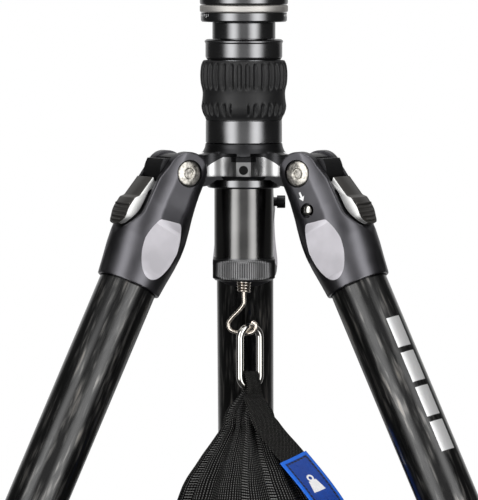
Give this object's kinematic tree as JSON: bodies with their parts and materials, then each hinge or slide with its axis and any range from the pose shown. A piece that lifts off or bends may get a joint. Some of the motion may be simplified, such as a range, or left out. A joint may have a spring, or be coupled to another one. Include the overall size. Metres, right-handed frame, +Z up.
{
  "type": "camera tripod",
  "caption": "Reverse-folding carbon-fibre travel tripod with a ball head, sliding column, twist-lock legs, spring hook and hanging mesh ballast bag.",
  "frame": {"origin": "on the floor, at the middle of the bounding box of the standing tripod", "axes": "+Z up along the column towards the camera platform; one leg points along +Y, and the hook side between the other two faces -Y"},
  "size_m": [0.3978, 0.3476, 0.5337],
  "materials": {
    "satin_black": "satin black anodised metal",
    "satin_grey": "satin gunmetal grey with a lavender tone",
    "tab_grey": "dark gunmetal with bright machined edges",
    "polished_dark": "polished black anodised aluminium",
    "knurled_dark": "black anodised aluminium, finely knurled",
    "bright_ring": "bright turned aluminium",
    "ball_steel": "bead-blasted anodised aluminium",
    "bolt_steel": "worn brushed steel",
    "spring_steel": "warm spring steel wire",
    "chrome": "polished chrome",
    "carbon": "clear-coated unidirectional carbon fibre",
    "grip_rubber": "matt moulded rubber",
    "lock_rubber": "ribbed moulded rubber",
    "knob_rubber": "ribbed moulded rubber",
    "foot_rubber": "soft moulded rubber",
    "mesh_cloth": "black ribbed mesh knit",
    "webbing": "black woven webbing",
    "blue_tape": "glossy blue woven label"
  },
  "bodies": {
    "root": {"spider": "satin_black", "spider_bottom_ring": "polished_dark", "pivot_bolt_a": "bolt_steel", "pivot_bolt_b": "bolt_steel", "pivot_bolt_c": "bolt_steel"},
    "column_lock": {"column_lock_sleeve": "polished_dark", "column_lock_grip": "grip_rubber"},
    "column": {"column_tube": "polished_dark", "column_top_boss": "polished_dark", "hook_spring": "spring_steel", "head_base": "satin_black"},
    "end_ring": {"column_end_ring": "knurled_dark"},
    "hook": {"weight_hook": "spring_steel"},
    "link": {"snap_ring": "chrome"},
    "bag": {"ballast_bag": "mesh_cloth", "bag_strap": "webbing", "bag_label": "blue_tape"},
    "head": {"pan_index_ring": "bright_ring", "ball_housing": "satin_black"},
    "pan_knob": {"pan_lock_knob": "knob_rubber"},
    "ball_knob": {"ball_lock_knob": "knob_rubber"},
    "ball_body": {"ball": "ball_steel"},
    "clamp": {"ball_stem": "satin_black", "clamp_body": "satin_black"},
    "jaw": {"clamp_jaw": "satin_black"},
    "jaw_knob": {"clamp_knob": "knob_rubber"},
    "plate": {"quick_release_plate": "satin_black"},
    "plate_screw": {"camera_screw": "bolt_steel"},
    "leg_a": {"casting_a": "satin_grey", "tube_1_a": "carbon"},
    "section_2_a": {"tube_2_a": "carbon"},
    "section_3_a": {"tube_3_a": "carbon"},
    "section_4_a": {"tube_4_a": "carbon", "foot_a": "foot_rubber"},
    "lock_1_a": {"twist_lock_1_a": "lock_rubber"},
    "lock_2_a": {"twist_lock_2_a": "lock_rubber"},
    "lock_3_a": {"twist_lock_3_a": "lock_rubber"},
    "tab_a": {"angle_lock_tab_a": "tab_grey"},
    "leg_b": {"casting_b": "satin_grey", "tube_1_b": "carbon"},
    "section_2_b": {"tube_2_b": "carbon"},
    "section_3_b": {"tube_3_b": "carbon"},
    "section_4_b": {"tube_4_b": "carbon", "foot_b": "foot_rubber"},
    "lock_1_b": {"twist_lock_1_b": "lock_rubber"},
    "lock_2_b": {"twist_lock_2_b": "lock_rubber"},
    "lock_3_b": {"twist_lock_3_b": "lock_rubber"},
    "tab_b": {"angle_lock_tab_b": "tab_grey"},
    "button": {"leg_release_button": "chrome"},
    "leg_c": {"casting_c": "satin_grey", "tube_1_c": "carbon", "accessory_stud": "satin_black"},
    "section_2_c": {"tube_2_c": "carbon"},
    "section_3_c": {"tube_3_c": "carbon"},
    "section_4_c": {"tube_4_c": "carbon", "foot_c": "foot_rubber"},
    "lock_1_c": {"twist_lock_1_c": "lock_rubber"},
    "lock_2_c": {"twist_lock_2_c": "lock_rubber"},
    "lock_3_c": {"twist_lock_3_c": "lock_rubber"},
    "tab_c": {"angle_lock_tab_c": "tab_grey"}
  },
  "joints": [
    {"name": "column_lock_turn", "type": "hinge", "parent": "root", "child": "column_lock", "pos_m": [0, -0.05438, 0.41711], "axis": [0, 0, 1], "range_deg": [0, 120]},
    {"name": "column_lift", "type": "slide", "parent": "root", "child": "column", "axis": [0, 0, 1], "range_m": [0, 0.033]},
    {"name": "end_ring_turn", "type": "hinge", "parent": "column", "child": "end_ring", "pos_m": [0, -0.05438, 0.32911], "axis": [0, 0, 1], "continuous": true},
    {"name": "hook_pull", "type": "slide", "parent": "column", "child": "hook", "axis": [0, 0, -1], "range_m": [0, 0.012], "stiffness_N_per_m": 500, "springref_m": -0.02, "deforming": ["hook_spring"]},
    {"name": "link_swing", "type": "hinge", "parent": "hook", "child": "link", "pos_m": [0.0026, -0.05548, 0.29671], "axis": [0.9063, -0.4226, 0], "range_deg": [-6, 6]},
    {"name": "bag_swing", "type": "hinge", "parent": "link", "child": "bag", "pos_m": [0.003, -0.05438, 0.27006], "axis": [0.8387, 0.5446, 0], "range_deg": [-8, 8]},
    {"name": "pan_turn", "type": "hinge", "parent": "column", "child": "head", "pos_m": [0, -0.05438, 0.45711], "axis": [0, 0, 1], "continuous": true},
    {"name": "pan_knob_turn", "type": "hinge", "parent": "head", "child": "pan_knob", "pos_m": [0, -0.05438, 0.46911], "axis": [0.866, 0.5, 0], "range_deg": [-180, 180]},
    {"name": "ball_knob_turn", "type": "hinge", "parent": "head", "child": "ball_knob", "pos_m": [0, -0.05438, 0.47711], "axis": [0, -1, 0], "range_deg": [-180, 180]},
    {"name": "ball_lean", "type": "hinge", "parent": "head", "child": "ball_body", "pos_m": [0, -0.05438, 0.48511], "axis": [-1, 0, 0], "range_deg": [-35, 35]},
    {"name": "ball_tilt", "type": "hinge", "parent": "ball_body", "child": "clamp", "pos_m": [0, -0.05438, 0.48511], "axis": [0, 1, 0], "range_deg": [-90, 35]},
    {"name": "jaw_slide", "type": "slide", "parent": "clamp", "child": "jaw", "axis": [1, 0, 0], "range_m": [0, 0.004]},
    {"name": "clamp_knob_turn", "type": "hinge", "parent": "jaw", "child": "jaw_knob", "pos_m": [0, -0.05438, 0.51411], "axis": [-1, 0, 0], "range_deg": [0, 720]},
    {"name": "plate_slide", "type": "slide", "parent": "clamp", "child": "plate", "axis": [0, 1, 0], "range_m": [-0.012, 0.012]},
    {"name": "camera_screw_turn", "type": "hinge", "parent": "plate", "child": "plate_screw", "pos_m": [0, -0.05438, 0.52541], "axis": [0, 0, 1], "continuous": true},
    {"name": "leg_fold_a", "type": "hinge", "parent": "root", "child": "leg_a", "pos_m": [-0.03317, -0.07353, 0.37711], "axis": [-0.5, 0.866, 0], "range_deg": [-7, 141]},
    {"name": "tab_open_a", "type": "hinge", "parent": "leg_a", "child": "tab_a", "pos_m": [-0.04663, -0.0813, 0.37101], "axis": [0.5, -0.866, 0], "range_deg": [-20, 0], "stiffness_Nm_per_rad": 0.05, "springref_deg": 20.05},
    {"name": "extend_2_a", "type": "slide", "parent": "leg_a", "child": "section_2_a", "axis": [-0.3796, -0.2192, -0.8988], "range_m": [0, 0.2]},
    {"name": "extend_3_a", "type": "slide", "parent": "section_2_a", "child": "section_3_a", "axis": [-0.3796, -0.2192, -0.8988], "range_m": [0, 0.225]},
    {"name": "extend_4_a", "type": "slide", "parent": "section_3_a", "child": "section_4_a", "axis": [-0.3796, -0.2192, -0.8988], "range_m": [0, 0.25]},
    {"name": "lock_turn_1_a", "type": "hinge", "parent": "leg_a", "child": "lock_1_a", "pos_m": [-0.15276, -0.14257, 0.09399], "axis": [-0.3796, -0.2192, -0.8988], "range_deg": [0, 90]},
    {"name": "lock_turn_2_a", "type": "hinge", "parent": "section_2_a", "child": "lock_2_a", "pos_m": [-0.16437, -0.14928, 0.06649], "axis": [-0.3796, -0.2192, -0.8988], "range_deg": [0, 90]},
    {"name": "lock_turn_3_a", "type": "hinge", "parent": "section_3_a", "child": "lock_3_a", "pos_m": [-0.17599, -0.15599, 0.03898], "axis": [-0.3796, -0.2192, -0.8988], "range_deg": [0, 90]},
    {"name": "leg_fold_b", "type": "hinge", "parent": "root", "child": "leg_b", "pos_m": [0.03317, -0.07353, 0.37711], "axis": [-0.5, -0.866, 0], "range_deg": [-7, 141]},
    {"name": "tab_open_b", "type": "hinge", "parent": "leg_b", "child": "tab_b", "pos_m": [0.04663, -0.0813, 0.37101], "axis": [0.5, 0.866, 0], "range_deg": [-20, 0], "stiffness_Nm_per_rad": 0.05, "springref_deg": 20.05},
    {"name": "extend_2_b", "type": "slide", "parent": "leg_b", "child": "section_2_b", "axis": [0.3796, -0.2192, -0.8988], "range_m": [0, 0.2]},
    {"name": "extend_3_b", "type": "slide", "parent": "section_2_b", "child": "section_3_b", "axis": [0.3796, -0.2192, -0.8988], "range_m": [0, 0.225]},
    {"name": "extend_4_b", "type": "slide", "parent": "section_3_b", "child": "section_4_b", "axis": [0.3796, -0.2192, -0.8988], "range_m": [0, 0.25]},
    {"name": "lock_turn_1_b", "type": "hinge", "parent": "leg_b", "child": "lock_1_b", "pos_m": [0.15276, -0.14257, 0.09399], "axis": [0.3796, -0.2192, -0.8988], "range_deg": [0, 90]},
    {"name": "lock_turn_2_b", "type": "hinge", "parent": "section_2_b", "child": "lock_2_b", "pos_m": [0.16437, -0.14928, 0.06649], "axis": [0.3796, -0.2192, -0.8988], "range_deg": [0, 90]},
    {"name": "lock_turn_3_b", "type": "hinge", "parent": "section_3_b", "child": "lock_3_b", "pos_m": [0.17599, -0.15599, 0.03898], "axis": [0.3796, -0.2192, -0.8988], "range_deg": [0, 90]},
    {"name": "button_push", "type": "slide", "parent": "leg_b", "child": "button", "axis": [0.5, 0.866, 0], "range_m": [0, 0.0015], "stiffness_N_per_m": 800, "springref_m": -0.001},
    {"name": "leg_fold_c", "type": "hinge", "parent": "root", "child": "leg_c", "pos_m": [0, -0.01608, 0.37711], "axis": [1, 0, 0], "range_deg": [-7, 141]},
    {"name": "tab_open_c", "type": "hinge", "parent": "leg_c", "child": "tab_c", "pos_m": [0, -0.00053, 0.37101], "axis": [-1, 0, 0], "range_deg": [-20, 0], "stiffness_Nm_per_rad": 0.05, "springref_deg": 20.05},
    {"name": "extend_2_c", "type": "slide", "parent": "leg_c", "child": "section_2_c", "axis": [0, 0.4384, -0.8988], "range_m": [0, 0.2]},
    {"name": "extend_3_c", "type": "slide", "parent": "section_2_c", "child": "section_3_c", "axis": [0, 0.4384, -0.8988], "range_m": [0, 0.225]},
    {"name": "extend_4_c", "type": "slide", "parent": "section_3_c", "child": "section_4_c", "axis": [0, 0.4384, -0.8988], "range_m": [0, 0.25]},
    {"name": "lock_turn_1_c", "type": "hinge", "parent": "leg_c", "child": "lock_1_c", "pos_m": [0, 0.12201, 0.09399], "axis": [0, 0.4384, -0.8988], "range_deg": [0, 90]},
    {"name": "lock_turn_2_c", "type": "hinge", "parent": "section_2_c", "child": "lock_2_c", "pos_m": [0, 0.13542, 0.06649], "axis": [0, 0.4384, -0.8988], "range_deg": [0, 90]},
    {"name": "lock_turn_3_c", "type": "hinge", "parent": "section_3_c", "child": "lock_3_c", "pos_m": [0, 0.14884, 0.03898], "axis": [0, 0.4384, -0.8988], "range_deg": [0, 90]}
  ]
}
